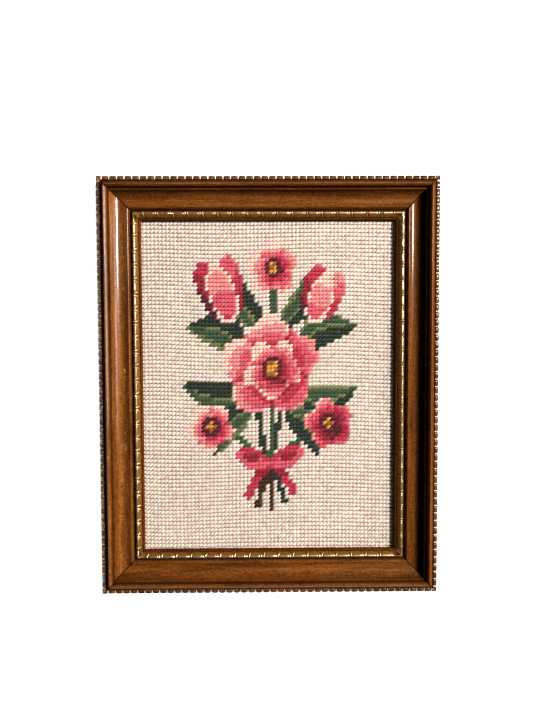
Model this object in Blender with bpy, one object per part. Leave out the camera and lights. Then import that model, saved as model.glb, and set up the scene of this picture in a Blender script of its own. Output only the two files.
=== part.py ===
"""Needlepoint canvas panel in a mitred picture frame.

The panel lies on its back: X runs to the picture's right, Y to its top and Z out of its face.
The origin is the centre of the outline on the back face. All sizes are in metres.
In each rail and strip, s runs along the side, u inward from its outer edge and z up from its back.
"""

import math

import bmesh
import bpy

# Outline of the frame
OUTER_WIDTH = 0.2540
OUTER_HEIGHT = 0.3128
RAIL_WIDTH = 0.0312
PIECE_GAP = 0.0003

# Rabbet behind the sight lip, which holds the canvas
RABBET_WIDTH = 0.0060
RABBET_DEPTH = 0.0072

# Rail's outer wall, the seat that the outer strip is fixed on, and the groove beside it
WALL_INSET = 0.0006
OUTER_SEAT_WIDTH = 0.0033
OUTER_SEAT_HEIGHT = 0.0122
GROOVE_HEIGHT = 0.0146
GROOVE_END = 0.0040

# Ridge, the highest line of the moulding: two straight slopes that meet in a small round
RIDGE_FOOT = (0.0041, 0.0180)
RIDGE_CENTRE = (0.00715, 0.02085)
RIDGE_RADII = (0.00045, 0.00045)
RIDGE_STEPS = 4
RIDGE_INNER = (0.00865, 0.0198)

# Step and thin fillet inside the ridge
STEP_START = 0.0088
STEP_HEIGHT = 0.0170
FILLET_START = 0.0097
FILLET_END = 0.0104
FILLET_HEIGHT = 0.01725

# Scoop: an arc that falls from the fillet to the moulding's lowest line and rises to the hump
SCOOP_CENTRE = (0.0175, 0.0180)
SCOOP_RADII = (0.0070, 0.0070)
SCOOP_ANGLES = (187, 303)
SCOOP_STEPS = 12

# Tight round at the scoop's inner edge, with a slope down to the gilt strip
HUMP_CENTRE = (0.02173, 0.01145)
HUMP_RADII = (0.0008, 0.0008)
HUMP_ANGLES = (105, 20)
HUMP_STEPS = 4
HUMP_FOOT = (0.0236, 0.0102)

# Seat of the gilt strip and the sight lip
GILT_SEAT_START = 0.0241
GILT_SEAT_END = 0.0300
GILT_SEAT_HEIGHT = 0.0096
LIP_CREST = 0.0305
LIP_HEIGHT = 0.0109
LIP_EDGE_HEIGHT = 0.0103

# Outer strip of pillow blocks parted by notches
BLOCK_PITCH = 0.0056
BLOCK_SHOULDER = 0.0009
BLOCK_CORNER = 0.0042
STRIP_WIDTH = 0.0030
BLOCK_SIDE_HEIGHT = 0.0153
BLOCK_TOP = 0.0169
BLOCK_INNER_HEIGHT = 0.0163
BLOCK_CROWN = 0.0015
NOTCH_INSET = 0.0009
NOTCH_DROP = 0.0016

# Gilt strip: long beads parted by small reels, with the crest beside the scoop
BEAD_PITCH = 0.0110
BEAD_MIDDLE = 0.0271
BEAD_SECTION = [
    (-0.0026, 0.0),
    (-0.0022, 0.0015),
    (-0.0014, 0.0026),
    (-0.0006, 0.0030),
    (0.0003, 0.0028),
    (0.0015, 0.0020),
    (0.0026, 0.0011),
    (0.0026, 0.0),
]
BEAD_CORNER = 0.0325
VALLEY_SCALE = 0.68
REEL_SCALE = 0.92
BEAD_SHOULDER = 0.07
BEAD_LENGTH = 0.68
REEL_PLACE = 0.84

# Stitched canvas: one flat sheet, its rows of stitches raised as low ribs
CANVAS_CLEARANCE = 0.0003
CANVAS_THICKNESS = 0.0028
ROW_PITCH = 0.00302
ROW_RELIEF = 0.0005

SMOOTH_ANGLE = math.radians(35)


def clear_scene():
    for item in list(bpy.data.objects):
        bpy.data.objects.remove(item, do_unlink=True)


def make_material(name, colour, roughness, metallic=0.0):
    material = bpy.data.materials.new(name)
    material.use_nodes = True
    shader = material.node_tree.nodes["Principled BSDF"]
    shader.inputs["Base Color"].default_value = (*colour, 1.0)
    shader.inputs["Roughness"].default_value = roughness
    shader.inputs["Metallic"].default_value = metallic
    return material


def arc(centre, radii, start, end, steps):
    """Points (u, z) along an elliptical arc, with angles in degrees from the inward direction."""
    points = []
    for step in range(steps + 1):
        angle = math.radians(start + (end - start) * step / steps)
        points.append((centre[0] + radii[0] * math.cos(angle), centre[1] + radii[1] * math.sin(angle)))
    return points


def loft(name, rings, material):
    """One closed solid through a row of rings of (s, u, z) points."""
    shape = bmesh.new()
    loops = [[shape.verts.new(point) for point in ring] for ring in rings]
    for near, far in zip(loops, loops[1:]):
        for index in range(len(near)):
            shape.faces.new((near[index], near[index - 1], far[index - 1], far[index]))
    shape.faces.new(loops[0])
    shape.faces.new(loops[-1])
    bmesh.ops.recalc_face_normals(shape, faces=shape.faces)
    mesh = bpy.data.meshes.new(name)
    shape.to_mesh(mesh)
    shape.free()
    mesh.materials.append(material)
    mesh.shade_smooth()
    mesh.set_sharp_from_angle(angle=SMOOTH_ANGLE)
    piece = bpy.data.objects.new(name, mesh)
    bpy.context.scene.collection.objects.link(piece)
    return piece


def mitred(outline, length, side):
    """The ring where a side is cut at 45 degrees, half the gap short of the corner's diagonal."""
    back_off = PIECE_GAP / math.sqrt(2)
    return [(side * (length / 2 - u - back_off), u, z) for u, z in outline]


def squared(outline, place):
    return [(place, u, z) for u, z in outline]


def rail_outline():
    """Section of the moulding, from the back's outer corner over the face and round the rabbet."""
    points = [
        (WALL_INSET, 0.0),
        (WALL_INSET, OUTER_SEAT_HEIGHT),
        (OUTER_SEAT_WIDTH, OUTER_SEAT_HEIGHT),
        (OUTER_SEAT_WIDTH, GROOVE_HEIGHT),
        (GROOVE_END, GROOVE_HEIGHT),
        RIDGE_FOOT,
    ]
    points += arc(RIDGE_CENTRE, RIDGE_RADII, 135, 45, RIDGE_STEPS)
    points += [
        RIDGE_INNER,
        (STEP_START, STEP_HEIGHT),
        (FILLET_START, STEP_HEIGHT),
        (FILLET_START, FILLET_HEIGHT),
        (FILLET_END, FILLET_HEIGHT),
    ]
    points += arc(SCOOP_CENTRE, SCOOP_RADII, *SCOOP_ANGLES, SCOOP_STEPS)
    points += arc(HUMP_CENTRE, HUMP_RADII, *HUMP_ANGLES, HUMP_STEPS)
    points += [
        HUMP_FOOT,
        (GILT_SEAT_START, GILT_SEAT_HEIGHT),
        (GILT_SEAT_END, GILT_SEAT_HEIGHT),
        (GILT_SEAT_END, LIP_HEIGHT - PIECE_GAP),
        (LIP_CREST, LIP_HEIGHT),
        (RAIL_WIDTH, LIP_EDGE_HEIGHT),
        (RAIL_WIDTH, RABBET_DEPTH),
        (RAIL_WIDTH - RABBET_WIDTH, RABBET_DEPTH),
        (RAIL_WIDTH - RABBET_WIDTH, 0.0),
    ]
    return points


def make_rail(name, length, material):
    outline = rail_outline()
    return loft(name, [mitred(outline, length, -1), mitred(outline, length, 1)], material)


def block_outline(inset, drop):
    """Section of the outer strip: full on a block, drawn in and lowered in a notch."""
    return [
        (STRIP_WIDTH, OUTER_SEAT_HEIGHT + PIECE_GAP),
        (inset, OUTER_SEAT_HEIGHT + PIECE_GAP),
        (inset, BLOCK_SIDE_HEIGHT - drop),
        (BLOCK_CROWN + inset / 2, BLOCK_TOP - drop),
        (STRIP_WIDTH, BLOCK_INNER_HEIGHT - drop),
    ]


def make_outer_strip(name, length, material):
    """Row of pillow blocks, with a solid corner block at each mitre."""
    block = block_outline(0.0, 0.0)
    notch = block_outline(NOTCH_INSET, NOTCH_DROP)
    row = length - 2 * BLOCK_CORNER
    count = round(row / BLOCK_PITCH)
    pitch = row / count
    rings = [mitred(block, length, -1)]
    for index in range(count + 1):
        place = -row / 2 + index * pitch
        if index > 0:
            rings.append(squared(block, place - BLOCK_SHOULDER))
        rings.append(squared(notch, place))
        if index < count:
            rings.append(squared(block, place + BLOCK_SHOULDER))
    rings.append(mitred(block, length, 1))
    return loft(name, rings, material)


def bead_outline(scale):
    """Section of the gilt strip on its seat, smaller in a valley."""
    base = GILT_SEAT_HEIGHT + PIECE_GAP
    return [(BEAD_MIDDLE + u * scale, base + z * scale) for u, z in BEAD_SECTION]


def make_gilt_strip(name, length, material):
    """Long beads parted by reels; each repeat is valley, bead, valley, reel."""
    bead = bead_outline(1.0)
    valley = bead_outline(VALLEY_SCALE)
    reel = bead_outline(REEL_SCALE)
    row = length - 2 * BEAD_CORNER
    count = round(row / BEAD_PITCH)
    pitch = row / count
    rings = [mitred(bead, length, -1)]
    for index in range(count):
        start = -row / 2 + index * pitch
        rings.append(squared(valley, start))
        rings.append(squared(bead, start + BEAD_SHOULDER * pitch))
        rings.append(squared(bead, start + (BEAD_LENGTH - BEAD_SHOULDER) * pitch))
        rings.append(squared(valley, start + BEAD_LENGTH * pitch))
        rings.append(squared(reel, start + REEL_PLACE * pitch))
    rings.append(squared(valley, row / 2))
    rings.append(mitred(bead, length, 1))
    return loft(name, rings, material)


def make_canvas(name, material):
    """The stitched sheet, flat behind the lip, with one low rib for each row of stitches."""
    width = OUTER_WIDTH - 2 * (RAIL_WIDTH - RABBET_WIDTH + CANVAS_CLEARANCE)
    height = OUTER_HEIGHT - 2 * (RAIL_WIDTH - RABBET_WIDTH + CANVAS_CLEARANCE)
    face = RABBET_DEPTH - PIECE_GAP
    back = face - CANVAS_THICKNESS
    rows = round(height / ROW_PITCH)
    pitch = height / rows
    section = [(-height / 2, back), (-height / 2, face - ROW_RELIEF)]
    for row in range(rows):
        lower = -height / 2 + row * pitch
        section.append((lower + pitch / 2, face))
        section.append((lower + pitch, face - ROW_RELIEF))
    section.append((height / 2, back))
    return loft(name, [squared(section, -width / 2), squared(section, width / 2)], material)


def place_on_side(piece, side_name):
    """Turn a piece built along a side so that its outer edge meets that side of the outline."""
    sides = {
        "bottom": ((0.0, -OUTER_HEIGHT / 2), 0),
        "right": ((OUTER_WIDTH / 2, 0.0), 90),
        "top": ((0.0, OUTER_HEIGHT / 2), 180),
        "left": ((-OUTER_WIDTH / 2, 0.0), 270),
    }
    (x, y), turn = sides[side_name]
    piece.location = (x, y, 0.0)
    piece.rotation_euler = (0.0, 0.0, math.radians(turn))


def build():
    clear_scene()
    wood = make_material("varnished_wood", (0.20, 0.085, 0.03), 0.32)
    carved = make_material("carved_wood", (0.24, 0.13, 0.065), 0.35)
    gilt = make_material("worn_gilt", (0.55, 0.43, 0.16), 0.3, metallic=0.8)
    yarn = make_material("cream_yarn", (0.83, 0.74, 0.62), 0.9)

    make_canvas("canvas_panel", yarn)
    lengths = {"bottom": OUTER_WIDTH, "right": OUTER_HEIGHT, "top": OUTER_WIDTH, "left": OUTER_HEIGHT}
    for side_name, length in lengths.items():
        place_on_side(make_rail(f"frame_{side_name}", length, wood), side_name)
        place_on_side(make_outer_strip(f"outer_beading_{side_name}", length, carved), side_name)
        place_on_side(make_gilt_strip(f"gilt_beading_{side_name}", length, gilt), side_name)


build()
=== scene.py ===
"""The looks of a needlepoint canvas panel in its picture frame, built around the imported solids.

Sizes are in metres. X runs to the picture's right, Y to its top and Z out of its face. The frame lies
on its back on a pale floor, under a camera that looks almost straight down on it. Along each side of
the frame, s runs along the side, u inward from its outer edge and z up from its back.
"""

import math

import bpy
import numpy as np
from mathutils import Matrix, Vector


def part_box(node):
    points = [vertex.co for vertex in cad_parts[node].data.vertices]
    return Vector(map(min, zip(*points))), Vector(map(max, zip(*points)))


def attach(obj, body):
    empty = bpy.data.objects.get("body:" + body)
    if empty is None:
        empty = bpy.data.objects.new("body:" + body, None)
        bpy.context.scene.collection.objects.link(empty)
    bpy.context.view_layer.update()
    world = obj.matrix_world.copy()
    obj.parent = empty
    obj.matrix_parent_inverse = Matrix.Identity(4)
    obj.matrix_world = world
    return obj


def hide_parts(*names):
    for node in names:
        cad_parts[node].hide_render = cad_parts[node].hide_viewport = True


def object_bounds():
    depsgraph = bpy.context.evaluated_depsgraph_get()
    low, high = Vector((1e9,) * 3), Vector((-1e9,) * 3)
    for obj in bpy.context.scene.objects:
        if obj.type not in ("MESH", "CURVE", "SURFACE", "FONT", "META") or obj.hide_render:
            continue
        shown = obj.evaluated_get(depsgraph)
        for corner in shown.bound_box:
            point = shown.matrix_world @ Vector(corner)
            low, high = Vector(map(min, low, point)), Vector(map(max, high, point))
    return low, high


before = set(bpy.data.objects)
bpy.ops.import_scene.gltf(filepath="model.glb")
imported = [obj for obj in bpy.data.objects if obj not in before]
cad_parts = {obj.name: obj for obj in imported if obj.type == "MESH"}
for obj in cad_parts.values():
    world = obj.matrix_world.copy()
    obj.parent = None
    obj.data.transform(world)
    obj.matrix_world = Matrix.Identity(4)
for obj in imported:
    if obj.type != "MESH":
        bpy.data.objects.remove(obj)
cad_low, cad_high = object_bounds()
sheet_low, sheet_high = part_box("canvas_panel")

MM = 0.001
WIDTH = cad_high.x - cad_low.x
HEIGHT = cad_high.y - cad_low.y
PIECE_GAP = 0.3 * MM
MITRE_GAP = 0.06 * MM

# Sides of the frame: middle of the outer edge and turn about Z
SIDES = {
    "bottom": ((0.0, -HEIGHT / 2), 0, WIDTH),
    "right": ((WIDTH / 2, 0.0), 90, HEIGHT),
    "top": ((0.0, HEIGHT / 2), 180, WIDTH),
    "left": ((-WIDTH / 2, 0.0), 270, HEIGHT),
}

# Moulding's section in millimetres, as in the solids but rounded finer
OUTER_WALL = 0.6
RAIL_WIDTH = 31.2
RABBET_WALL = 25.2
RABBET_DEPTH = 7.2
OUTER_SEAT_HEIGHT = 12.2
GILT_SEAT_HEIGHT = 9.6
RIDGE_CENTRE = (7.15, 20.85)
RIDGE_RADIUS = 0.45
SCOOP_CENTRE = (17.5, 18.0)
SCOOP_RADIUS = 7.0
HUMP_CENTRE = (21.73, 11.45)
HUMP_RADIUS = 0.8
EDGE_ROUNDING = 0.2
ROUNDING_LIMIT = 0.4
SHARP_TURN = 28
SHADING_ANGLE = 50

# Stations along a rail, and the dark line of glaze that each mitre has at its ends
RAIL_STATIONS = 61
SEAM_SHARES = (0.993, 0.9955)
SEAM_STAIN = 0.7
LEAST_STAIN = -0.2
DOWNWARD = -0.7

# Stain is the share of dark glaze left in the wood; these tables add, beyond each section's own, each
# side's painted shade (positive) and painted light (negative). The slope outside the ridge ends at
# SLOPE_END, the scoop's painted shade fades out up to SCOOP_FADE_END, and what lies beyond SCOOP_END has
# only a share of the rail's.
RAIL_PAINTED_SHADE = {"bottom": 0.04, "right": 0.22, "top": 0.13, "left": -0.14}
SLOPE_PAINTED_SHADE = {"bottom": 0.0, "right": 0.0, "top": 0.0, "left": 0.35}
SLOPE_END = 6.2
SCOOP_PAINTED_SHADE = {"bottom": 0.25, "right": 0.8, "top": 0.3, "left": 0.2}
SCOOP_FADE = 4.5
SCOOP_FADE_END = 16.5
SCOOP_END = 19.0
HUMP_SHARE = 0.35

# Share of a strip's corner piece over which it rises from the last reel
CORNER_RISE = 0.18

# Outer beading: flat blocks with low shoulders, a thin reel between each two. Along, in millimetres
# from the middle of the reel, and the drop there.
BLOCK_PITCH = 5.6 * MM
BLOCK_CORNER = 4.2 * MM
STRIP_WIDTH = 3.0 * MM
BLOCK_REPEAT = [
    (0.00, 0.10), (0.10, 0.11), (0.20, 0.14), (0.30, 0.20), (0.38, 0.30), (0.46, 1.00), (0.54, 1.40),
    (0.74, 1.40), (0.84, 0.90), (0.92, 0.40), (1.05, 0.25), (1.35, 0.14), (1.80, 0.06), (2.30, 0.01),
    (2.80, 0.0), (3.30, 0.01), (3.80, 0.06), (4.25, 0.14), (4.55, 0.25), (4.68, 0.40), (4.76, 0.90),
    (4.86, 1.40), (5.06, 1.40), (5.14, 1.00), (5.22, 0.30), (5.30, 0.20), (5.40, 0.14), (5.50, 0.11),
]
REEL_HALF = 0.4 * MM
BLOCK_SECTION = [
    (3.0, 12.5), (0.0, 12.5), (0.0, 13.8), (0.0, 15.5), (0.05, 15.85), (0.2, 16.08), (0.6, 16.2),
    (1.1, 16.3), (1.6, 16.4), (2.1, 16.48), (2.5, 16.5), (2.8, 16.38), (2.95, 16.15), (3.0, 15.8),
]
# Painted shade and light of the outer blocks on each side: positive darkens, negative lightens
BLOCK_PAINTED_SHADE = {"bottom": 0.06, "right": 0.16, "top": 0.22, "left": -0.1}
REEL_LEVEL = 16.42
REEL_FALL = 0.05
REEL_TOP_DROP = 0.35

# Wear of the blocks in millimetres, and the part of the strip's height and width that follows it. A
# drop below TOP_DROP belongs to a block's top, and one past NOTCH_DROP to a notch beside a reel.
BLOCK_TILT = 0.08
BLOCK_WEAR = 0.08
BODY_START = 0.8
BODY_RISE = 2.6
CROWN_ACROSS = (0.15, 0.9)
CROWN_HEIGHT = 0.9
TOP_DROP = 0.3
NOTCH_DROP = 0.8
NOTCH_OUTER = 1.5
NOTCH_FALL = 0.8
NOTCH_STAIN_START = 0.42
NOTCH_STAIN_RISE = 0.4

# Gilt beading: long half-moon beads with a straight crest, a thin rib beyond each end. Share of the
# repeat from the bead's middle, then fullness.
BEAD_PITCH = 11.0 * MM
BEAD_MIDDLE = 27.1 * MM
BEAD_CORNER = 32.5 * MM
BEAD_SECTION = [
    (2.6, 0.0), (2.6, 0.95), (2.3, 1.22), (1.9, 1.56), (1.4, 1.98), (0.9, 2.36), (0.4, 2.68),
    (0.0, 2.86), (-0.3, 2.96), (-0.6, 3.0), (-0.9, 2.94), (-1.2, 2.78), (-1.6, 2.4), (-2.0, 1.85),
    (-2.4, 1.1), (-2.6, 0.0),
]
BEAD_HALF = 2.6
BEAD_CREST = -0.55
BEAD_ROUND = 0.9
BEAD_EDGE = 0.348
RIB_START = 0.366
RIB_STOP = 0.445
RIB_END = 0.455
BEAD_HALF_REPEAT = [
    (0.00, 1.0), (0.10, 1.0), (0.20, 1.0), (0.27, 0.99), (0.31, 0.95), (0.335, 0.86), (0.348, 0.68),
    (0.362, 0.66), (0.374, 0.90), (0.395, 0.98), (0.416, 0.98), (0.436, 0.90), (0.455, 0.72), (0.50, 0.70),
]
CORNER_FULLNESS = 0.9
RIB_FALL = 0.3
RIB_FALL_POWER = 1.5
GROOVE_SHARE = 0.75
GROOVE_GROWTH = 2.0
SOLID_SHARE = 0.2

# Gilt left on the crest: how far down it reaches on each side's beads and elsewhere, in millimetres,
# and the fullness that has any. Grooves are stained instead.
CREST_REACH = {"bottom": 0.8, "right": 0.9, "top": 0.5, "left": 0.85}
PLAIN_REACH = 0.5
BEAD_FULL = 0.94
GILT_START = 0.4
GILT_RISE = 0.4
GROOVE_STAIN_START = 0.84
GROOVE_STAIN_GAIN = 3.0
GROOVE_STAIN_MOST = 0.75
SHARE_TOLERANCE = 1e-6

# Stitches: one for each hole of the canvas, slanting up to the right
COLUMNS = 70
ROWS = 87
SHEET_WIDTH = sheet_high.x - sheet_low.x
SHEET_HEIGHT = sheet_high.y - sheet_low.y
COLUMN_PITCH = SHEET_WIDTH / COLUMNS
ROW_PITCH = SHEET_HEIGHT / ROWS
GROUND_TOP = sheet_low.z + 1.2 * MM
STITCH_TOP = sheet_high.z
YARN_WIDTH = 2.45 * MM
YARN_HEIGHT = 1.4 * MM
YARN_SLANT = 29
YARN_LENGTH = 4.6 * MM
YARN_TILT = 0.3 * MM
TOP_CLEARANCE = 0.1 * MM
END_DEPTH = 0.15 * MM
STITCH_RINGS = 7
STITCH_SIDES = 6
RING_POWER = 0.85
END_POWER = 4
LEAST_FULL = 0.5
RISE_POWER = 2.6

# Painted shade in the crease below each stitch, leaning so that each stitch's lower-left end is darkest
PAINTED_CREASE_SHADE = np.array([0.82, 0.72, 0.64])
CREASE_LEAN = 0.2
CREASE_START = 0.16
CREASE_WIDTH = 0.3

# Spread between stitches: place, slant in radians, then shares of size, of shade and of each colour
SLIP_X = 0.05 * MM
SLIP_Y = 0.06 * MM
SLANT_SPREAD = 0.06
LENGTH_SPREAD = 0.03
WIDTH_SPREAD = 0.06
HEIGHT_SPREAD = 0.05
SHADE_SPREAD = 0.055
TINT_SPREAD = 0.012

# Pull of the canvas. Rows wave in one way above LOW_BAND and in another below it: height in
# millimetres, x of the wave's start, its length over a full turn of 2 pi, share by which it sinks.
HIGH_WAVE = (1.4, 0.005, 0.0247, 0.0)
LOW_WAVE = (2.4, -0.04, 0.042, 0.3)
LOW_BAND = -0.06
LOW_BLEND = 0.03
# Columns: height in millimetres, length along y and turn, then the ripple's height and both lengths
SIDE_WAVE = (0.45, 0.048, 1.1)
SIDE_RIPPLE = (0.25, 0.03, 0.06)
EDGE_POWERS = (8, 4)

# Woven canvas: depth of its holes, relief of the stitches' backs, shares of canvas and yarn in its face
HOLE_DEPTH = 0.25 * MM
BACK_RELIEF = 0.35 * MM
CANVAS_SHARE = 0.3
YARN_SHARE = 0.65


def linear(red, green, blue):
    """A colour given as 0 to 255 display values, as linear values."""
    values = []
    for value in (red, green, blue):
        share = value / 255
        values.append(share / 12.92 if share <= 0.04045 else ((share + 0.055) / 1.055) ** 2.4)
    return tuple(values)


YARNS = {
    "cream": linear(225, 211, 200),
    "burgundy": linear(98, 28, 48),
    "crimson": linear(156, 38, 62),
    "rose": linear(192, 60, 86),
    "pink": linear(216, 102, 118),
    "pink_light": linear(234, 152, 152),
    "pink_pale": linear(246, 206, 194),
    "leaf_dark": linear(42, 60, 48),
    "leaf": linear(68, 94, 68),
    "leaf_light": linear(120, 130, 88),
    "stem": linear(74, 42, 32),
    "ochre": linear(214, 156, 70),
    "ochre_dark": linear(164, 102, 46),
}
CANVAS_COLOUR = np.array(linear(214, 188, 168))
ROSE_TONES = ["burgundy", "crimson", "rose", "pink", "pink_light", "pink_pale"]


# Meshes

def add_mesh(name, points, faces, material, smooth=True):
    mesh = bpy.data.meshes.new(name)
    mesh.from_pydata(points.reshape(-1, 3).tolist(), [], faces)
    mesh.materials.append(material)
    if smooth:
        mesh.shade_smooth()
    piece = bpy.data.objects.new(name, mesh)
    bpy.context.scene.collection.objects.link(piece)
    return piece


def tube_faces(rings, sides):
    """Quads round a closed tube of rings and one cap at each end, facing out for anticlockwise rings."""
    faces = []
    for ring in range(rings - 1):
        for side in range(sides):
            near = ring * sides
            after = (side + 1) % sides
            faces.append((near + side, near + sides + side, near + sides + after, near + after))
    faces.append(tuple(range(sides)))
    last = (rings - 1) * sides
    faces.append(tuple(last + side for side in reversed(range(sides))))
    return faces


def turned_out(points, faces):
    """The same faces, all turned over where they enclose a negative volume."""
    flat = points.reshape(-1, 3)
    volume = 0.0
    for face in faces:
        a = flat[face[0]]
        for b, c in zip(face[1:], face[2:]):
            volume += np.dot(a, np.cross(flat[b], flat[c]))
    return faces if volume > 0 else [tuple(reversed(face)) for face in faces]


def corner_vertices(piece):
    """The vertex at each corner of each face."""
    vertices = np.zeros(len(piece.data.loops), dtype=np.int32)
    piece.data.loops.foreach_get("vertex_index", vertices)
    return vertices


def set_uv(piece, name, along, across):
    """A UV map from values held at each vertex."""
    layer = piece.data.uv_layers.new(name=name)
    corners = corner_vertices(piece)
    values = np.stack([along.ravel()[corners], across.ravel()[corners]], axis=1)
    layer.data.foreach_set("uv", values.astype(np.float32).ravel())


def set_value(piece, name, values):
    layer = piece.data.attributes.new(name, "FLOAT", "POINT")
    layer.data.foreach_set("value", values.astype(np.float32).ravel())


def set_colour(piece, name, colours, domain="POINT"):
    layer = piece.data.attributes.new(name, "FLOAT_COLOR", domain)
    alpha = np.ones((len(colours), 1))
    layer.data.foreach_set("color", np.hstack([colours, alpha]).astype(np.float32).ravel())


def to_side(grid, side):
    """Points (s, u, z) of a side, turned to the side's place in the frame."""
    (x, y), turn, _ = SIDES[side]
    angle = math.radians(turn)
    s, u, z = grid[..., 0], grid[..., 1], grid[..., 2]
    return np.stack([
        x + s * math.cos(angle) - u * math.sin(angle),
        y + s * math.sin(angle) + u * math.cos(angle),
        z,
    ], axis=-1)


# Sections of the moulding

def arc(centre, radius, start, end, steps, stain=0.0):
    angles = np.radians(np.linspace(start, end, steps + 1))
    return [(centre[0] + radius * math.cos(a), centre[1] + radius * math.sin(a), stain) for a in angles]


def rounded(points, radius):
    """The closed outline of (u, z, stain) with each sharp corner replaced by a small curve."""
    result = []
    count = len(points)
    for index in range(count):
        here = np.array(points[index])
        before = np.array(points[index - 1])[:2] - here[:2]
        after = np.array(points[(index + 1) % count])[:2] - here[:2]
        before_length = np.linalg.norm(before)
        after_length = np.linalg.norm(after)
        cosine = np.dot(before, after) / (before_length * after_length)
        if 180 - math.degrees(math.acos(max(-1.0, min(1.0, cosine)))) < SHARP_TURN:
            result.append(tuple(here))
            continue
        before /= before_length
        after /= after_length
        reach = [min(radius, ROUNDING_LIMIT * side) for side in (before_length, after_length)]
        for back, on in ((1.0, 0.0), (0.36, 0.1), (0.1, 0.36), (0.0, 1.0)):
            place = here[:2] + before * reach[0] * back + after * reach[1] * on
            result.append((place[0], place[1], here[2]))
    return result


def rail_section(side):
    """Points (u, z, stain) of the moulding, from the back's outer corner round to the rabbet."""
    points = [
        (OUTER_WALL, 0.0, 0.5), (OUTER_WALL, OUTER_SEAT_HEIGHT, 0.5), (3.3, OUTER_SEAT_HEIGHT, 0.8),
        (3.3, 14.6, 0.6), (4.0, 14.6, 0.5), (4.1, 18.0, 0.5), (4.9, 18.9, 0.5), (6.0, 20.15, 0.48),
        (6.6, 20.9, 0.2),
    ]
    points += arc(RIDGE_CENTRE, RIDGE_RADIUS, 135, 45, 6, -0.08)
    points += [(8.65, 19.8, 0.3), (8.8, 17.0, 0.8), (9.7, 17.0, 0.5), (9.7, 17.25, 0.3), (10.4, 17.25, 0.25)]
    # Painted shade over the outer part of the scoop, set for each side and strongest on the right
    for u, z, _ in arc(SCOOP_CENTRE, SCOOP_RADIUS, 187, 303, 30):
        fade = max(0.0, min(1.0, (SCOOP_FADE_END - u) / SCOOP_FADE))
        points.append((u, z, SCOOP_PAINTED_SHADE[side] * fade))
    points += arc(HUMP_CENTRE, HUMP_RADIUS, 112, 20, 7, 0.1)
    points += [
        (23.6, 10.2, 0.7), (24.1, GILT_SEAT_HEIGHT, 1.0), (30.0, GILT_SEAT_HEIGHT, 0.9), (30.0, 10.6, 0.5),
        (30.5, 10.9, 0.4), (RAIL_WIDTH, 10.3, 0.45), (RAIL_WIDTH, RABBET_DEPTH, 0.5),
        (RABBET_WALL, RABBET_DEPTH, 0.5), (RABBET_WALL, 0.0, 0.5),
    ]
    return rounded(points, EDGE_ROUNDING)


def mitred_grid(shares, outline, length):
    """Rings at shares of the half length from -1 to 1, each ending on the corner's diagonal."""
    u = outline[:, 0]
    z = outline[:, 1]
    half = length / 2 - u - MITRE_GAP / math.sqrt(2)
    s = np.outer(shares, half)
    return np.stack([s, np.broadcast_to(u, s.shape), np.broadcast_to(z, s.shape)], axis=-1)


def add_swept(name, side, grid, material, values):
    """A closed strip along a side from a grid of rings, with a grain map and other point values."""
    rings, sides = grid.shape[:2]
    points = to_side(grid, side)
    faces = turned_out(points, tube_faces(rings, sides))
    piece = add_mesh(name, points, faces, material)
    steps = np.linalg.norm(np.diff(grid[0, :, 1:], axis=0), axis=1)
    around = np.concatenate([[0.0], np.cumsum(steps)])
    offset = 0.37 * list(SIDES).index(side)
    set_uv(piece, "grain", grid[..., 0] + offset, np.broadcast_to(around, (rings, sides)))
    for key, value in values.items():
        set_value(piece, key, np.broadcast_to(value, (rings, sides)))
    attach(piece, "root")
    return piece


def set_raw_back(piece):
    """Marks the faces that look down, which are left unvarnished."""
    down = [1.0 if face.normal.z < DOWNWARD else 0.0 for face in piece.data.polygons]
    layer = piece.data.attributes.new("raw", "FLOAT", "FACE")
    layer.data.foreach_set("value", down)


def add_rail(side, material):
    length = SIDES[side][2]
    section = np.array(rail_section(side))
    start, stop = SEAM_SHARES
    shares = np.linspace(-1, 1, RAIL_STATIONS)[1:-1]
    shares = np.concatenate([[-1, -stop, -start], shares, [start, stop, 1]])
    grid = mitred_grid(shares, section[:, :2] * MM, length)
    seam = np.where(np.abs(shares) > start, SEAM_STAIN, LEAST_STAIN)[:, None]
    u = section[:, 0]
    # Each side's painted shade and light, added to the glaze of the section
    painted_side_shade = np.where(u < SCOOP_END, RAIL_PAINTED_SHADE[side], HUMP_SHARE * RAIL_PAINTED_SHADE[side])
    painted_side_shade = np.where(u < SLOPE_END, SLOPE_PAINTED_SHADE[side], painted_side_shade)
    stain = np.maximum(section[:, 2] + painted_side_shade, seam)
    piece = add_swept(f"rail_{side}", side, grid, material, {"stain": stain})
    piece.data.set_sharp_from_angle(angle=math.radians(SHADING_ANGLE))
    set_raw_back(piece)
    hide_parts(f"frame_{side}")


def strip_rings(length, corner, pitch, repeat, start_value, end_value):
    """Places along a strip and the repeat's value at each, with a whole corner at both ends."""
    row = length - 2 * corner
    count = round(row / pitch)
    places = [-row / 2 - CORNER_RISE * corner]
    values = [end_value]
    for index in range(count):
        for share, value in repeat:
            places.append(-row / 2 + (index + share) * row / count)
            values.append(value)
    places += [row / 2, row / 2 + CORNER_RISE * corner]
    values += [start_value, end_value]
    return np.array(places), np.array(values), row / count


def strip_grid(places, outline, length):
    """Rings at the given places, with a mitred ring before the first and after the last."""
    ends = mitred_grid(np.array([-1.0, 1.0]), outline, length)
    s = np.broadcast_to(places[:, None], (len(places), len(outline)))
    u = np.broadcast_to(outline[:, 0], s.shape)
    z = np.broadcast_to(outline[:, 1], s.shape)
    return np.concatenate([ends[:1], np.stack([s, u, z], axis=-1), ends[1:]])


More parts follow.
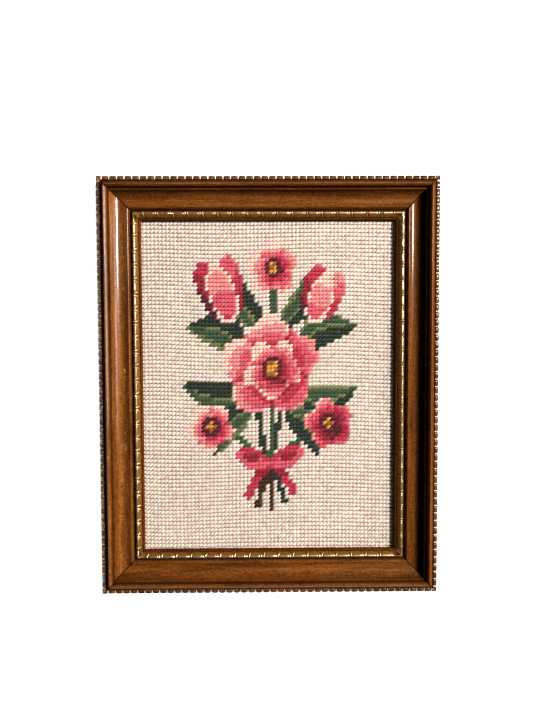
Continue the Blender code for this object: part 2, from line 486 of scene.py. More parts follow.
def add_outer_beading(side, material, wear):
    """Blocks and thin reels on the moulding's outer edge, each block worn down a little differently."""
    length = SIDES[side][2]
    outline = np.array(BLOCK_SECTION) * MM
    pitch = BLOCK_PITCH / MM
    repeat = [(along / pitch, drop) for along, drop in BLOCK_REPEAT]
    places, drops, step = strip_rings(length, BLOCK_CORNER, BLOCK_PITCH, repeat, BLOCK_REPEAT[0][1], 0.0)
    grid = strip_grid(places, outline, length)
    drop = np.concatenate([[0.0], drops, [0.0]])[:, None]
    block = np.clip(((grid[:, :1, 0] - places[1]) / step).astype(int), 0, None)
    tilt = wear.uniform(-BLOCK_TILT, BLOCK_TILT, block.max() + 1)[block]
    low = wear.uniform(0.0, BLOCK_WEAR, block.max() + 1)[block] * (drop < TOP_DROP)
    height = np.clip((grid[..., 2] - OUTER_SEAT_HEIGHT * MM - BODY_START * MM) / (BODY_RISE * MM), 0, 1)
    across = grid[..., 1] / STRIP_WIDTH
    crown = (across > CROWN_ACROSS[0]) & (across < CROWN_ACROSS[1]) & (height > CROWN_HEIGHT)
    level = (REEL_LEVEL - REEL_FALL * grid[..., 1] / MM) * MM
    from_reel = np.abs((grid[:, :1, 0] - places[1] + step / 2) % step - step / 2)
    reel = (from_reel < REEL_HALF) & (drop > 0)
    grid[..., 2] += np.where(reel & crown, level - grid[..., 2], 0)
    drop = drop * np.where(drop > NOTCH_DROP, NOTCH_OUTER - NOTCH_FALL * across, 1)
    worn = (low + tilt * (across - 0.5)) * (drop < TOP_DROP) * ~reel
    grid[..., 2] -= (drop + worn) * MM * height
    notch = np.clip((drop - NOTCH_STAIN_START) / NOTCH_STAIN_RISE, 0, 1)
    # The stain holds each side's painted shade and light and the glaze in the notches; the pale top of each
    # reel is a painted glint, with real reflection from its metal
    values = {"stain": BLOCK_PAINTED_SHADE[side] + notch * np.ones_like(across),
              "gilt": (reel & crown & (drop < REEL_TOP_DROP)) * 1.0}
    piece = add_swept(f"beading_outer_{side}", side, grid, material, values)
    set_raw_back(piece)
    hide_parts(f"outer_beading_{side}")


def add_gilt_beading(side, material):
    """Half-moon beads: straight along the crest and closing in an arc towards the canvas."""
    length = SIDES[side][2]
    section = np.array(BEAD_SECTION)
    base = GILT_SEAT_HEIGHT * MM + PIECE_GAP
    repeat = [(0.5 - share, value) for share, value in reversed(BEAD_HALF_REPEAT)]
    repeat += [(0.5 + share, value) for share, value in BEAD_HALF_REPEAT[1:-1]]
    first = repeat[0][1]
    places, fullness, step = strip_rings(length, BEAD_CORNER, BEAD_PITCH, repeat, first, CORNER_FULLNESS)
    grid = strip_grid(places, section * MM + np.array([BEAD_MIDDLE, base]), length)
    inward = np.clip((section[:, 0] - BEAD_CREST) / (BEAD_HALF - BEAD_CREST), 0, 1)[None, :]
    through = (places[:, None] - places[1]) / step
    middle = np.floor(through + SHARE_TOLERANCE) + 0.5
    off = np.abs(through - middle)
    rib = np.concatenate([[[False]], (off > RIB_START) & (off < RIB_STOP), [[False]]])
    edge = BEAD_EDGE * np.sqrt(1 - (BEAD_ROUND * inward) ** 2)
    ribs = edge + (off - BEAD_EDGE)
    rib_width = RIB_END - BEAD_EDGE
    joined = edge + rib_width + (off - RIB_END) / (0.5 - RIB_END) * (0.5 - edge - rib_width)
    off = np.where(off <= BEAD_EDGE, off * edge / BEAD_EDGE, np.where(off <= RIB_END, ribs, joined))
    moved = places[1] + (middle + np.sign(through - middle) * off) * step
    row = (np.arange(len(places)) > 0) & (np.arange(len(places)) < len(places) - 2)
    grid[1:-1, :, 0] = np.where(row[:, None], moved, grid[1:-1, :, 0])
    fullness = np.concatenate([[CORNER_FULLNESS], fullness, [CORNER_FULLNESS]])[:, None]
    fullness = np.where(rib, fullness - RIB_FALL * inward ** RIB_FALL_POWER, fullness)
    fullness = 1 - (1 - fullness) * np.clip(GROOVE_SHARE + GROOVE_GROWTH * inward, 0, 1)
    grid[..., 2] = base + (grid[..., 2] - base) * (SOLID_SHARE + (1 - SOLID_SHARE) * fullness)
    beyond = section[None, :, 0] - BEAD_CREST
    reach = np.where((beyond > 0) & (fullness > BEAD_FULL), CREST_REACH[side], PLAIN_REACH)
    near_crest = np.exp(-(beyond / reach) ** 2)
    near_crest = np.maximum(near_crest, rib * (1 - inward ** 2))
    groove = np.clip((GROOVE_STAIN_START - fullness) * GROOVE_STAIN_GAIN, 0, GROOVE_STAIN_MOST)
    values = {"crest": near_crest * np.clip((fullness - GILT_START) / GILT_RISE, 0, 1),
              "stain": groove * np.ones((1, len(section)))}
    piece = add_swept(f"beading_gilt_{side}", side, grid, material, values)
    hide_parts(f"gilt_beading_{side}")


# Floral spray, charted as one yarn for each stitch. x and y count stitches from the middle.

# Leaves: base x and y, angle, length, half width, bend
LEAVES = [
    (-5, -5, 172, 18, 4.2, 2.0),
    (-5, -8, 232, 16, 3.8, -2.0),
    (5, -6, 6, 18, 4.2, -2.5),
    (4, -9, -54, 15, 3.6, 2.0),
    (-6, 6, 158, 17, 4.6, -2.5),
    (7, 6, 20, 17, 4.4, 2.5),
    (-2, 12, 116, 16, 3.6, 2.0),
    (3, 12, 60, 16, 3.4, -2.0),
]
# Tulips: x, y, angle, size, shift of tone
TULIPS = [(-12.5, 21, 106, 15, -0.2), (13.5, 19, 70, 13.5, 0.3)]
# Blossoms: x, y, radius, turn, shift of tone, radius of the centre
BLOSSOMS = [
    (1, 27, 7.4, 18, 0.8, 1.3),
    (-15.5, -13, 6.6, 50, 0.8, 1.3),
    (15.5, -13, 6.8, 30, -0.9, 1.3),
    (0, 2, 13.8, 90, -0.1, 2.3),
    (0.5, 1.5, 8.2, 54, 0.7, 2.0),
]
STEMS = [
    ([(-1, -24), (-3, -10), (-9, 10), (-11, 16)], "leaf_dark", 0.7),
    ([(0, -24), (3, -8), (9, 8), (12, 12)], "leaf_dark", 0.7),
    ([(0, -24), (1, 0), (1, 22)], "leaf", 0.7),
    ([(-1, -22), (-8, -16), (-14, -12)], "leaf", 0.6),
    ([(0, -22), (8, -17), (14, -13)], "leaf", 0.6),
    ([(-1, -24), (-3, -34)], "stem", 0.7),
    ([(0, -24), (0.5, -35)], "stem", 0.7),
    ([(1, -24), (4, -33)], "leaf_dark", 0.7),
]
BOW = (0, -23)
CHART_RISE = 3
PETALS = 5


def tone(value):
    return ROSE_TONES[int(max(0, min(len(ROSE_TONES) - 1, round(value))))]


def turned(x, y, centre_x, centre_y, angle):
    """The place along and across a direction, in degrees, from a centre."""
    a = math.radians(angle)
    dx = x - centre_x
    dy = y - centre_y
    return dx * math.cos(a) + dy * math.sin(a), dy * math.cos(a) - dx * math.sin(a)


def leaf_yarn(x, y, base_x, base_y, angle, length, half, bend):
    along, across = turned(x, y, base_x, base_y, angle)
    share = along / length
    if not 0 <= share <= 1:
        return None
    off = across - bend * math.sin(math.pi * share)
    width = half * math.sin(math.pi * share ** 0.8) ** 0.75
    if abs(off) > width:
        return None
    if abs(off) < 0.45 and 0.08 < share < 0.86:
        return "leaf_light"
    if off > 0:
        return "leaf" if off < width * 0.72 else "leaf_light"
    return "leaf_dark"


def blossom_yarn(x, y, centre_x, centre_y, radius, turn, shift, centre):
    along, across = turned(x, y, centre_x, centre_y, turn)
    reach = math.hypot(along, across)
    angle = math.atan2(across, along)
    step = 2 * math.pi / PETALS
    local = (angle + step / 2) % step - step / 2
    rim = radius * (0.88 + 0.12 * math.cos(local * PETALS) - 0.06 * math.exp(-(local / 0.12) ** 2))
    if reach > rim:
        return None
    if reach < centre:
        return "ochre" if (round(x) + round(y)) % 3 else "ochre_dark"
    if reach < centre + 1:
        return "burgundy"
    side = local / (step / 2)
    value = 0.4 + 4.6 * (reach - centre) / (rim - centre) + shift
    value -= 2.6 * max(0.0, side - 0.45)
    value += 1.0 * math.cos(angle + math.radians(turn - 135)) - 0.2
    if side < -0.86 and reach > centre + 2.5:
        value -= 2.2
    return tone(value)


def tulip_yarn(x, y, centre_x, centre_y, angle, size, shift):
    value = None
    for side, first in ((1, 1.2), (-1, 2.6), (0, 3.6)):
        along, across = turned(x, y, centre_x, centre_y, angle)
        along -= size * (0.06 if side else -0.02)
        across -= side * size * 0.16
        along, across = turned(along, across, 0, 0, side * 9)
        along /= size * 0.52
        across /= size * (0.24 if side else 0.25)
        share = math.hypot(along, across)
        if share <= 1:
            value = first + 1.3 * along - (0 if side == 0 else 0.8 * abs(across))
            if side == 0 and share > 0.8:
                value = 5
    return None if value is None else tone(value + shift)


def near_line(x, y, points, half):
    for (ax, ay), (bx, by) in zip(points, points[1:]):
        vx = bx - ax
        vy = by - ay
        share = max(0, min(1, ((x - ax) * vx + (y - ay) * vy) / (vx * vx + vy * vy)))
        if math.hypot(x - ax - share * vx, y - ay - share * vy) < half:
            return True
    return False


def bow_yarn(x, y, centre_x, centre_y):
    for side in (-1, 1):
        along, across = turned(x, y, centre_x + side * 4.6, centre_y + 1.4, 90 - side * 68)
        along /= 4.6
        across /= 2.7
        share = math.hypot(along, across)
        if share <= 1:
            return "crimson" if share < 0.45 else ("rose" if across * side > 0.2 else "pink")
    if math.hypot(x - centre_x, y - centre_y) < 1.7:
        return "pink_light" if y > centre_y else "rose"
    for end_x, end_y in ((-5.5, -8.0), (6.0, -7.0)):
        bend = (centre_x + end_x * 0.5, centre_y + end_y * 0.35)
        end = (centre_x + end_x, centre_y + end_y)
        if near_line(x, y, [(centre_x, centre_y), bend, end], 1.15):
            return "rose" if y < centre_y - 3 else "crimson"
    return None


def yarn_at(column, row):
    x = column - (COLUMNS - 1) / 2
    y = row - (ROWS - 1) / 2 - CHART_RISE
    name = "cream"
    for points, colour, half in STEMS:
        if near_line(x, y, points, half):
            name = colour
    for shape, table in ((leaf_yarn, LEAVES), (tulip_yarn, TULIPS), (blossom_yarn, BLOSSOMS)):
        for row_values in table:
            name = shape(x, y, *row_values) or name
    return bow_yarn(x, y, *BOW) or name


# Stitched canvas

def row_wave(x, height, start, length, sink):
    return height * (np.sin((x - start) / length) - sink)


def canvas_drift(x, y):
    """How far the rows and columns have been pulled out of square: waves that die out at the edge."""
    across, along = EDGE_POWERS
    edge = (1 - (2 * x / SHEET_WIDTH) ** across) * (1 - (2 * y / SHEET_HEIGHT) ** along)
    low = 0.5 - 0.5 * np.tanh((y - LOW_BAND) / LOW_BLEND)
    up = (1 - low) * row_wave(x, *HIGH_WAVE) + low * row_wave(x, *LOW_WAVE)
    wave, wave_y, turn = SIDE_WAVE
    ripple, ripple_x, ripple_y = SIDE_RIPPLE
    right = wave * np.sin(y / wave_y + turn) + ripple * np.cos(x / ripple_x + y / ripple_y)
    return right * MM * edge, up * MM * edge


def stitch_points(columns, rows, rng):
    """Points of plump slanting stitches, as an array of stitches, rings and sides."""
    count = len(columns)
    left = sheet_low.x + columns * COLUMN_PITCH
    low = sheet_low.y + rows * ROW_PITCH
    drift_x, drift_y = canvas_drift(left + COLUMN_PITCH / 2, low + ROW_PITCH / 2)
    centre_x = left + COLUMN_PITCH / 2 + drift_x + rng.normal(0, SLIP_X, count)
    centre_y = low + ROW_PITCH / 2 + drift_y + rng.normal(0, SLIP_Y, count)
    slant = math.radians(YARN_SLANT) + rng.normal(0, SLANT_SPREAD, count)
    span = YARN_LENGTH * (1 + rng.normal(0, LENGTH_SPREAD, count))
    half_width = YARN_WIDTH / 2 * (1 + rng.normal(0, WIDTH_SPREAD, count))
    half_height = YARN_HEIGHT / 2 * (1 + rng.normal(0, HEIGHT_SPREAD, count))
    share = np.linspace(-1, 1, STITCH_RINGS)
    share = np.sign(share) * np.abs(share) ** RING_POWER
    full = np.maximum(LEAST_FULL, (1 - np.abs(share) ** END_POWER) ** 0.5)
    rise = 1 - np.abs(share) ** RISE_POWER
    angles = 2 * math.pi * np.arange(STITCH_SIDES) / STITCH_SIDES + math.pi / 2
    top = STITCH_TOP - TOP_CLEARANCE - half_height
    low_z = GROUND_TOP - END_DEPTH
    level = low_z + (top - low_z)[:, None] * rise[None, :]
    middle_z = level + YARN_TILT * share[None, :] * (1 - rise[None, :])
    along = span[:, None] / 2 * share[None, :]
    wide = half_width[:, None, None] * full[None, :, None] * np.cos(angles)[None, None, :]
    high = half_height[:, None, None] * full[None, :, None] * np.sin(angles)[None, None, :]
    cos_a = np.cos(slant)[:, None, None]
    sin_a = np.sin(slant)[:, None, None]
    x = centre_x[:, None, None] + along[:, :, None] * cos_a - wide * sin_a
    y = centre_y[:, None, None] + along[:, :, None] * sin_a + wide * cos_a
    z = middle_z[:, :, None] + high
    return np.stack([x, y, z], axis=-1)


def add_stitches(name, cells, material, rng):
    """One joined mesh of the stitches in a list of (column, row, yarn name)."""
    columns = np.array([cell[0] for cell in cells], float)
    rows = np.array([cell[1] for cell in cells], float)
    points = stitch_points(columns, rows, rng)
    per_stitch = STITCH_RINGS * STITCH_SIDES
    one = turned_out(points[0], tube_faces(STITCH_RINGS, STITCH_SIDES))
    faces = [tuple(v + index * per_stitch for v in face) for index in range(len(cells)) for face in one]
    piece = add_mesh(name, points, faces, material)
    shade = 1 + rng.normal(0, SHADE_SPREAD, (len(cells), 1))
    tint = 1 + rng.normal(0, TINT_SPREAD, (len(cells), 3))
    base = np.array([YARNS[cell[2]] for cell in cells])
    colours = np.clip(base * shade * tint, 0, 1)[:, None, :]
    flat = points.reshape(len(cells), per_stitch, 3)
    from_middle = flat - flat.mean(axis=1, keepdims=True)
    # Painted shade: darker towards each stitch's lower-left end and the crease below it
    off = from_middle[..., 1] / ROW_PITCH + CREASE_LEAN * from_middle[..., 0] / COLUMN_PITCH
    painted_crease_shade = np.clip((-off - CREASE_START) / CREASE_WIDTH, 0, 1)[..., None]
    colours = colours * (1 - painted_crease_shade * (1 - PAINTED_CREASE_SHADE))
    set_colour(piece, "yarn", colours.reshape(-1, 3))
    shape = (len(cells), STITCH_RINGS, STITCH_SIDES)
    offset = rng.uniform(0, 1, (len(cells), 1, 1))
    along = np.broadcast_to(np.linspace(0, 1, STITCH_RINGS)[None, :, None] + offset, shape)
    around = np.broadcast_to((np.arange(STITCH_SIDES) / STITCH_SIDES)[None, None, :], shape)
    set_uv_round(piece, "ply", along, around)
    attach(piece, "root")
    return piece


def set_uv_round(piece, name, along, around):
    """A UV map for tubes, whose round value doesn't fall back to zero on the closing face."""
    layer = piece.data.uv_layers.new(name=name)
    corners = corner_vertices(piece)
    u = along.ravel()[corners]
    v = around.ravel()[corners]
    closing = np.zeros(len(corners), bool)
    starts = np.zeros(len(piece.data.polygons), dtype=np.int32)
    piece.data.polygons.foreach_get("loop_start", starts)
    totals = np.diff(np.append(starts, len(corners)))
    for start in starts[totals == 4]:
        window = v[start:start + 4]
        if window.max() - window.min() > 0.5:
            closing[start:start + 4] = window < 0.25
    v[closing] += 1.0
    layer.data.foreach_set("uv", np.stack([u, v], axis=1).astype(np.float32).ravel())


def add_ground_sheet(material, chart):
    """The woven canvas under the stitches; its back carries the backs of the same stitches."""
    across = np.linspace(sheet_low.x, sheet_high.x, 2 * COLUMNS + 1)
    up = np.linspace(sheet_low.y, sheet_high.y, 2 * ROWS + 1)
    x, y = np.meshgrid(across, up)
    hole_x = np.abs(np.cos(math.pi * (x - sheet_low.x) / COLUMN_PITCH))
    hole_y = np.abs(np.cos(math.pi * (y - sheet_low.y) / ROW_PITCH))
    drift_x, drift_y = canvas_drift(x, y)
    front = GROUND_TOP - HOLE_DEPTH * hole_x * hole_y
    back = sheet_low.z + BACK_RELIEF * hole_x
    layers = [np.stack([x + drift_x, y + drift_y, z], axis=-1) for z in (front, back)]
    points = np.stack(layers)
    wide = len(across)
    tall = len(up)
    per_layer = wide * tall
    faces = []
    colours = []
    for layer in range(2):
        for j in range(tall - 1):
            for i in range(wide - 1):
                a = layer * per_layer + j * wide + i
                quad = (a, a + 1, a + wide + 1, a + wide)
                faces.append(quad if layer == 0 else tuple(reversed(quad)))
                yarn = np.array(YARNS[chart[(i // 2, j // 2)]])
                colours.append(CANVAS_SHARE * CANVAS_COLOUR + YARN_SHARE * yarn if layer == 0 else yarn)
    rim = [(0, i) for i in range(wide)]
    rim += [(j, wide - 1) for j in range(1, tall)]
    rim += [(tall - 1, i) for i in reversed(range(wide - 1))]
    rim += [(j, 0) for j in reversed(range(1, tall - 1))]
    for (j, i), (next_j, next_i) in zip(rim, rim[1:] + rim[:1]):
        here = j * wide + i
        after = next_j * wide + next_i
        faces.append((here, here + per_layer, after + per_layer, after))
    piece = add_mesh("canvas_ground", points, faces, material)
    colours += [CANVAS_COLOUR] * len(rim)
    set_colour(piece, "yarn", np.array(colours), "FACE")
    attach(piece, "root")
    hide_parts("canvas_panel")
    return piece


# Materials

# Woods: tones of the grain, glaze, worn edges, where wear starts and how fine it is
WOODS = {
    "varnished_wood": ((linear(84, 47, 17), linear(123, 76, 29), linear(158, 104, 49)),
                       linear(40, 18, 8), linear(176, 130, 92), 0.66, 190.0),
    "carved_wood": ((linear(74, 46, 22), linear(106, 72, 40), linear(146, 110, 76)),
                    linear(20, 8, 4), linear(200, 172, 148), 0.56, 520.0),
}
RAW_TIMBER = (linear(168, 128, 84), linear(204, 168, 120))
# Pale, partly metal tops of the outer reels: a painted glint, with real reflection from the metal
REEL_GILT_AND_GLINT_COLOUR = linear(226, 212, 192)
REEL_METAL = 0.35
# Gilt: brown where it is rubbed through, dull gold, bright crest, and the stain in its grooves
GILT_TONES = (linear(122, 74, 32), linear(124, 98, 38), linear(232, 219, 180))
GILT_STAIN = linear(44, 22, 8)


class Nodes:
    """Adds linked nodes to a material's tree."""

    def __init__(self, name):
        self.material = bpy.data.materials.new(name)
        self.material.use_nodes = True
        self.tree = self.material.node_tree
        self.shader = self.tree.nodes["Principled BSDF"]

    def add(self, kind, inputs=None, **settings):
        node = self.tree.nodes.new(kind)
        for key, value in settings.items():
            setattr(node, key, value)
        for key, value in (inputs or {}).items():
            if isinstance(value, bpy.types.NodeSocket):
                self.tree.links.new(value, node.inputs[key])
            else:
                node.inputs[key].default_value = value
        return node

    def link(self, socket, target):
        self.tree.links.new(socket, target)

    def math(self, operation, a, b=0.0, c=0.0):
        return self.add("ShaderNodeMath", {0: a, 1: b, 2: c}, operation=operation).outputs[0]

    def ramp(self, factor, *stops):
        node = self.add("ShaderNodeValToRGB", {"Fac": factor})
        elements = node.color_ramp.elements
        while len(elements) < len(stops):
            elements.new(0.5)
        for element, (place, colour) in zip(elements, stops):
            element.position = place
            element.color = (*colour, 1.0)
        return node.outputs["Color"]

    def mix(self, factor, a, b, blend="MIX"):
        node = self.add("ShaderNodeMix", data_type="RGBA", blend_type=blend)
        for key, value in ((0, factor), (6, a), (7, b)):
            if isinstance(value, bpy.types.NodeSocket):
                self.tree.links.new(value, node.inputs[key])
            elif key == 0:
                node.inputs[key].default_value = value
            else:
                node.inputs[key].default_value = (*value, 1.0)
        return node.outputs[2]

    def noise(self, vector, scale, detail=3.0, roughness=0.55):
        node = self.add("ShaderNodeTexNoise", {"Vector": vector, "Scale": scale, "Detail": detail,
                                               "Roughness": roughness})
        return node.outputs["Fac"]

    def scaled(self, vector, scale):
        node = self.add("ShaderNodeVectorMath", {0: vector, 1: scale}, operation="MULTIPLY")
        return node.outputs[0]

    def bump(self, height, strength, distance):
        node = self.add("ShaderNodeBump", {"Height": height, "Strength": strength, "Distance": distance})
        return node.outputs["Normal"]


def yarn_material(name):
    """Wool: plies wound round the yarn, fine fibres, a soft sheen and slightly uneven dye."""
    nodes = Nodes(name)
    colour = nodes.add("ShaderNodeAttribute", attribute_name="yarn").outputs["Color"]
    ply = nodes.add("ShaderNodeUVMap", uv_map="ply").outputs["UV"]
    split = nodes.add("ShaderNodeSeparateXYZ", {0: ply})
    turns = nodes.math("MULTIPLY", split.outputs["Y"], 4.0)
    wound = nodes.math("MULTIPLY_ADD", split.outputs["X"], 1.6, turns)
    plies = nodes.math("ABSOLUTE", nodes.math("SINE", nodes.math("MULTIPLY", wound, math.pi)))
    place = nodes.add("ShaderNodeTexCoord").outputs["Object"]
    fibres = nodes.noise(place, 900.0, 4.0)
    dye = nodes.noise(place, 60.0, 2.0)
    shade = nodes.ramp(plies, (0.0, (0.82, 0.80, 0.79)), (0.55, (1.0, 1.0, 1.0)))
    tinted = nodes.mix(1.0, colour, shade, "MULTIPLY")
    worn = nodes.ramp(dye, (0.3, (0.93, 0.92, 0.91)), (0.7, (1.0, 1.0, 1.0)))
    tinted = nodes.mix(1.0, tinted, worn, "MULTIPLY")
    nodes.link(tinted, nodes.shader.inputs["Base Color"])
    height = nodes.math("MULTIPLY_ADD", fibres, 0.35, plies)
    nodes.link(nodes.bump(height, 0.6, 0.0002), nodes.shader.inputs["Normal"])
    nodes.shader.inputs["Roughness"].default_value = 0.85
    nodes.shader.inputs["Sheen Weight"].default_value = 0.25
    nodes.shader.inputs["Sheen Roughness"].default_value = 0.45
    nodes.shader.inputs["Specular IOR Level"].default_value = 0.25
    return nodes.material


def canvas_material(name):
    """Cotton canvas: coarse threads over and under, with the colours of what is worked into it."""
    nodes = Nodes(name)
    colour = nodes.add("ShaderNodeAttribute", attribute_name="yarn").outputs["Color"]
    place = nodes.add("ShaderNodeTexCoord").outputs["Object"]
    split = nodes.add("ShaderNodeSeparateXYZ", {0: place})
    threads = []
    for axis, pitch in (("X", COLUMN_PITCH / 2), ("Y", ROW_PITCH / 2)):
        turns = nodes.math("MULTIPLY", split.outputs[axis], 2 * math.pi / pitch)
        threads.append(nodes.math("SINE", turns))
    weave = nodes.math("MULTIPLY", threads[0], threads[1])
    fibres = nodes.noise(nodes.scaled(place, (700.0, 1400.0, 700.0)), 1.0, 4.0)
    shade = nodes.ramp(nodes.math("MULTIPLY_ADD", weave, 0.25, fibres), (0.25, (0.6, 0.58, 0.55)),
                       (0.7, (1.0, 1.0, 1.0)))
    nodes.link(nodes.mix(1.0, colour, shade, "MULTIPLY"), nodes.shader.inputs["Base Color"])
    height = nodes.math("MULTIPLY_ADD", fibres, 0.5, weave)
    nodes.link(nodes.bump(height, 0.7, 0.00025), nodes.shader.inputs["Normal"])
    nodes.shader.inputs["Roughness"].default_value = 0.9
    return nodes.material


def wood_material(name, tones, glaze, worn, wear_from, wear_grain):
    """Stained wood under varnish: grain along the rail, dark glaze in its hollows, painted shade and light
    by side, pale scuffs.
    """
    nodes = Nodes(name)
    grain_map = nodes.add("ShaderNodeUVMap", uv_map="grain").outputs["UV"]
    place = nodes.add("ShaderNodeTexCoord").outputs["Object"]
    grain = nodes.noise(nodes.scaled(grain_map, (60.0, 1100.0, 1.0)), 1.0, 5.0, 0.65)
    broad = nodes.noise(nodes.scaled(grain_map, (12.0, 190.0, 1.0)), 1.0, 3.0)
    pores = nodes.noise(nodes.scaled(grain_map, (240.0, 1700.0, 1.0)), 1.0, 2.0)
    mottle = nodes.noise(place, 900.0, 2.0)
    tone_value = nodes.math("MULTIPLY_ADD", grain, 0.45, nodes.math("MULTIPLY", broad, 0.55))
    tone_value = nodes.math("MULTIPLY_ADD", mottle, 0.6, nodes.math("SUBTRACT", tone_value, 0.3))
    colour = nodes.ramp(tone_value, (0.34, tones[0]), (0.5, tones[1]), (0.66, tones[2]))
    open_pores = nodes.ramp(pores, (0.34, (0.45, 0.40, 0.36)), (0.46, (1.0, 1.0, 1.0)))
    colour = nodes.mix(0.7, colour, open_pores, "MULTIPLY")
    stain = nodes.add("ShaderNodeAttribute", attribute_name="stain").outputs["Fac"]
    uneven = nodes.math("MULTIPLY_ADD", broad, 0.4, nodes.math("SUBTRACT", stain, 0.2))
    dark = nodes.ramp(uneven, (0.0, (0.0, 0.0, 0.0)), (1.0, (1.0, 1.0, 1.0)))
    colour = nodes.mix(dark, colour, glaze)
    rub = nodes.noise(place, wear_grain, 5.0, 0.75)
    bare = nodes.math("SUBTRACT", 1.0, stain)
    rubbed = nodes.ramp(nodes.math("MULTIPLY", bare, rub), (wear_from, (0.0, 0.0, 0.0)),
                        (wear_from + 0.1, (1.0, 1.0, 1.0)))
    colour = nodes.mix(rubbed, colour, worn)
    raw = nodes.add("ShaderNodeAttribute", attribute_name="raw").outputs["Fac"]
    timber = nodes.ramp(tone_value, (0.35, RAW_TIMBER[0]), (0.65, RAW_TIMBER[1]))
    colour = nodes.mix(raw, colour, timber)
    # Reel tops: pale painted glint over the wood, with some real reflection from the metal
    gilt = nodes.add("ShaderNodeAttribute", attribute_name="gilt").outputs["Fac"]
    nodes.link(nodes.mix(gilt, colour, REEL_GILT_AND_GLINT_COLOUR), nodes.shader.inputs["Base Color"])
    nodes.link(nodes.math("MULTIPLY", gilt, REEL_METAL), nodes.shader.inputs["Metallic"])
    height = nodes.math("MULTIPLY_ADD", mottle, 0.5, grain)
    nodes.link(nodes.bump(height, 0.4, 0.0001), nodes.shader.inputs["Normal"])
    rough = nodes.ramp(rub, (0.3, (0.30, 0.30, 0.30)), (0.75, (0.46, 0.46, 0.46)))
    nodes.link(rough, nodes.shader.inputs["Roughness"])
    shine = nodes.math("MAXIMUM", nodes.math("MULTIPLY_ADD", stain, -2.5, 1.0), 0.0)
    shine = nodes.math("MULTIPLY", nodes.math("MINIMUM", shine, 1.0), nodes.math("SUBTRACT", 1.0, raw))
    shine = nodes.math("POWER", shine, 1.5)
    nodes.link(nodes.math("MULTIPLY", shine, 0.8), nodes.shader.inputs["Coat Weight"])
    nodes.link(nodes.math("MULTIPLY", shine, 0.10), nodes.shader.inputs["Specular IOR Level"])
    nodes.shader.inputs["Coat Roughness"].default_value = 0.15
    return nodes.material


def gilt_material(name):
    """Gilt along the crests, rubbed through to brown below them, with a fine speckle."""
    nodes = Nodes(name)
    place = nodes.add("ShaderNodeTexCoord").outputs["Object"]
    crest = nodes.add("ShaderNodeAttribute", attribute_name="crest").outputs["Fac"]
    stain = nodes.add("ShaderNodeAttribute", attribute_name="stain").outputs["Fac"]
    speckle = nodes.noise(place, 600.0, 4.0, 0.65)
    cover = nodes.math("MULTIPLY_ADD", speckle, 0.6, nodes.math("MULTIPLY_ADD", crest, 0.85, -0.2))
    gold = nodes.ramp(cover, (0.05, GILT_TONES[0]), (0.45, GILT_TONES[1]), (0.85, GILT_TONES[2]))
    gold = nodes.mix(nodes.math("MULTIPLY", stain, 0.85), gold, GILT_STAIN)
    nodes.link(gold, nodes.shader.inputs["Base Color"])
    metal = nodes.ramp(cover, (0.25, (0.0, 0.0, 0.0)), (0.7, (0.85, 0.85, 0.85)))
    nodes.link(metal, nodes.shader.inputs["Metallic"])
    rough = nodes.ramp(speckle, (0.3, (0.20, 0.20, 0.20)), (0.75, (0.34, 0.34, 0.34)))
    nodes.link(nodes.mix(metal, (0.5, 0.5, 0.5), rough), nodes.shader.inputs["Roughness"])
    nodes.link(nodes.math("MULTIPLY_ADD", metal, 0.4, 0.1), nodes.shader.inputs["Specular IOR Level"])
    nodes.link(nodes.bump(speckle, 0.3, 0.0001), nodes.shader.inputs["Normal"])
    return nodes.material


# Object

def build_frame():
    wood, carved = [wood_material(name, *values) for name, values in WOODS.items()]
    gilt = gilt_material("worn_gilt")
    wear = np.random.default_rng(11)
    for side in SIDES:
        add_rail(side, wood)
        add_outer_beading(side, carved, wear)
        add_gilt_beading(side, gilt)


def build_needlepoint():
    rng = np.random.default_rng(5)
    chart = {(column, row): yarn_at(column, row) for row in range(ROWS) for column in range(COLUMNS)}
    wool = yarn_material("tapestry_wool")
    groups = {"ground_low": [], "ground_middle": [], "ground_high": [], "flowers": [], "leaves": []}
    for (column, row), yarn in chart.items():
        if yarn == "cream":
            group = ("ground_low", "ground_middle", "ground_high")[row * 3 // ROWS]
        elif yarn.startswith("leaf") or yarn == "stem":
            group = "leaves"
        else:
            group = "flowers"
        groups[group].append((column, row, yarn))
    stitches = [add_stitches(f"stitches_{name}", cells, wool, rng) for name, cells in groups.items()]
    ground = add_ground_sheet(canvas_material("cotton_canvas"), chart)


# Stage

FLOOR_SIZE = 6.0
FLOOR_GLOW = 1.12
VIEW_GAMMA = 0.82
FLOOR_TONES = ((0.84, 0.84, 0.84), (0.88, 0.88, 0.88))
# Lights: direction from the frame, size, power and colour
LIGHTS = {
    "fill": ((0.93, 0.10, 0.31), 1.0, 20.0, (1.0, 0.92, 0.88)),
    "key": ((0.61, 0.26, 0.75), 0.32, 39.0, (1.0, 0.98, 0.95)),
    "window": ((0.42, 0.26, 0.87), 1.0, 4.5, (1.0, 0.96, 0.95)),
}
LIGHT_DISTANCE = 1.6
WORLD_COLOUR = (0.95, 0.97, 1.0, 1.0)
WORLD_STRENGTH = 0.04
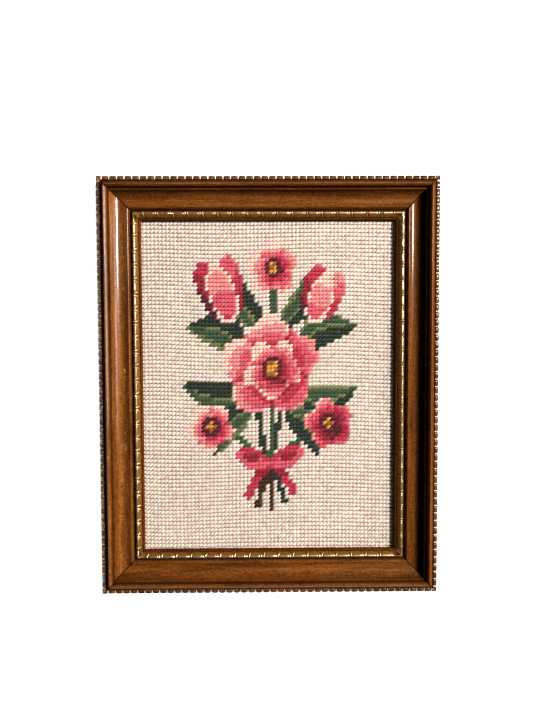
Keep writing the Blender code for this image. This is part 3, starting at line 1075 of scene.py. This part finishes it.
# Camera: place, turns in degrees, focal length in pixels of the photo's height
CAMERA_PLACE = Vector((-4.8, 38.5, 407.0)) * MM
CAMERA_TURN = (-2.35, -0.43, -0.23)
FOCAL_PIXELS = 525.0
IMAGE_HEIGHT = 715.0
SENSOR_LONG_SIDE = 36.0


def add_light(name, direction, size, power, colour):
    light = bpy.data.lights.new(name, "AREA")
    light.shape = "DISK"
    light.size = size
    light.energy = power
    light.color = colour
    lamp = bpy.data.objects.new(name, light)
    towards = Vector(direction)
    lamp.location = towards.normalized() * LIGHT_DISTANCE
    lamp.rotation_euler = towards.to_track_quat("Z", "Y").to_euler()
    bpy.context.scene.collection.objects.link(lamp)


def build_stage():
    half = FLOOR_SIZE / 2
    corners = np.array([(-half, -half, 0), (half, -half, 0), (half, half, 0), (-half, half, 0)], float)
    paper = Nodes("pale_floor")
    place = paper.add("ShaderNodeTexCoord").outputs["Object"]
    grain = paper.noise(place, 300.0)
    colour = paper.ramp(grain, (0.3, FLOOR_TONES[0]), (0.7, FLOOR_TONES[1]))
    paper.link(colour, paper.shader.inputs["Base Color"])
    paper.shader.inputs["Roughness"].default_value = 0.9
    paper.link(colour, paper.shader.inputs["Emission Color"])
    paper.shader.inputs["Emission Strength"].default_value = FLOOR_GLOW
    floor = add_mesh("floor", corners, [(0, 1, 2, 3)], paper.material)
    for name, values in LIGHTS.items():
        add_light(name, *values)
    world = bpy.data.worlds.new("studio")
    world.use_nodes = True
    world.node_tree.nodes["Background"].inputs["Color"].default_value = WORLD_COLOUR
    world.node_tree.nodes["Background"].inputs["Strength"].default_value = WORLD_STRENGTH
    bpy.context.scene.world = world
    bpy.context.scene.view_settings.view_transform = "Standard"
    bpy.context.scene.view_settings.gamma = VIEW_GAMMA


def add_camera():
    data = bpy.data.cameras.new("camera")
    data.sensor_width = SENSOR_LONG_SIDE
    data.lens = FOCAL_PIXELS / IMAGE_HEIGHT * SENSOR_LONG_SIDE
    data.clip_start = 0.01
    camera = bpy.data.objects.new("camera", data)
    camera.location = CAMERA_PLACE
    camera.rotation_euler = [math.radians(angle) for angle in CAMERA_TURN]
    bpy.context.scene.collection.objects.link(camera)
    bpy.context.scene.camera = camera


build_frame()
build_needlepoint()
build_stage()
add_camera()
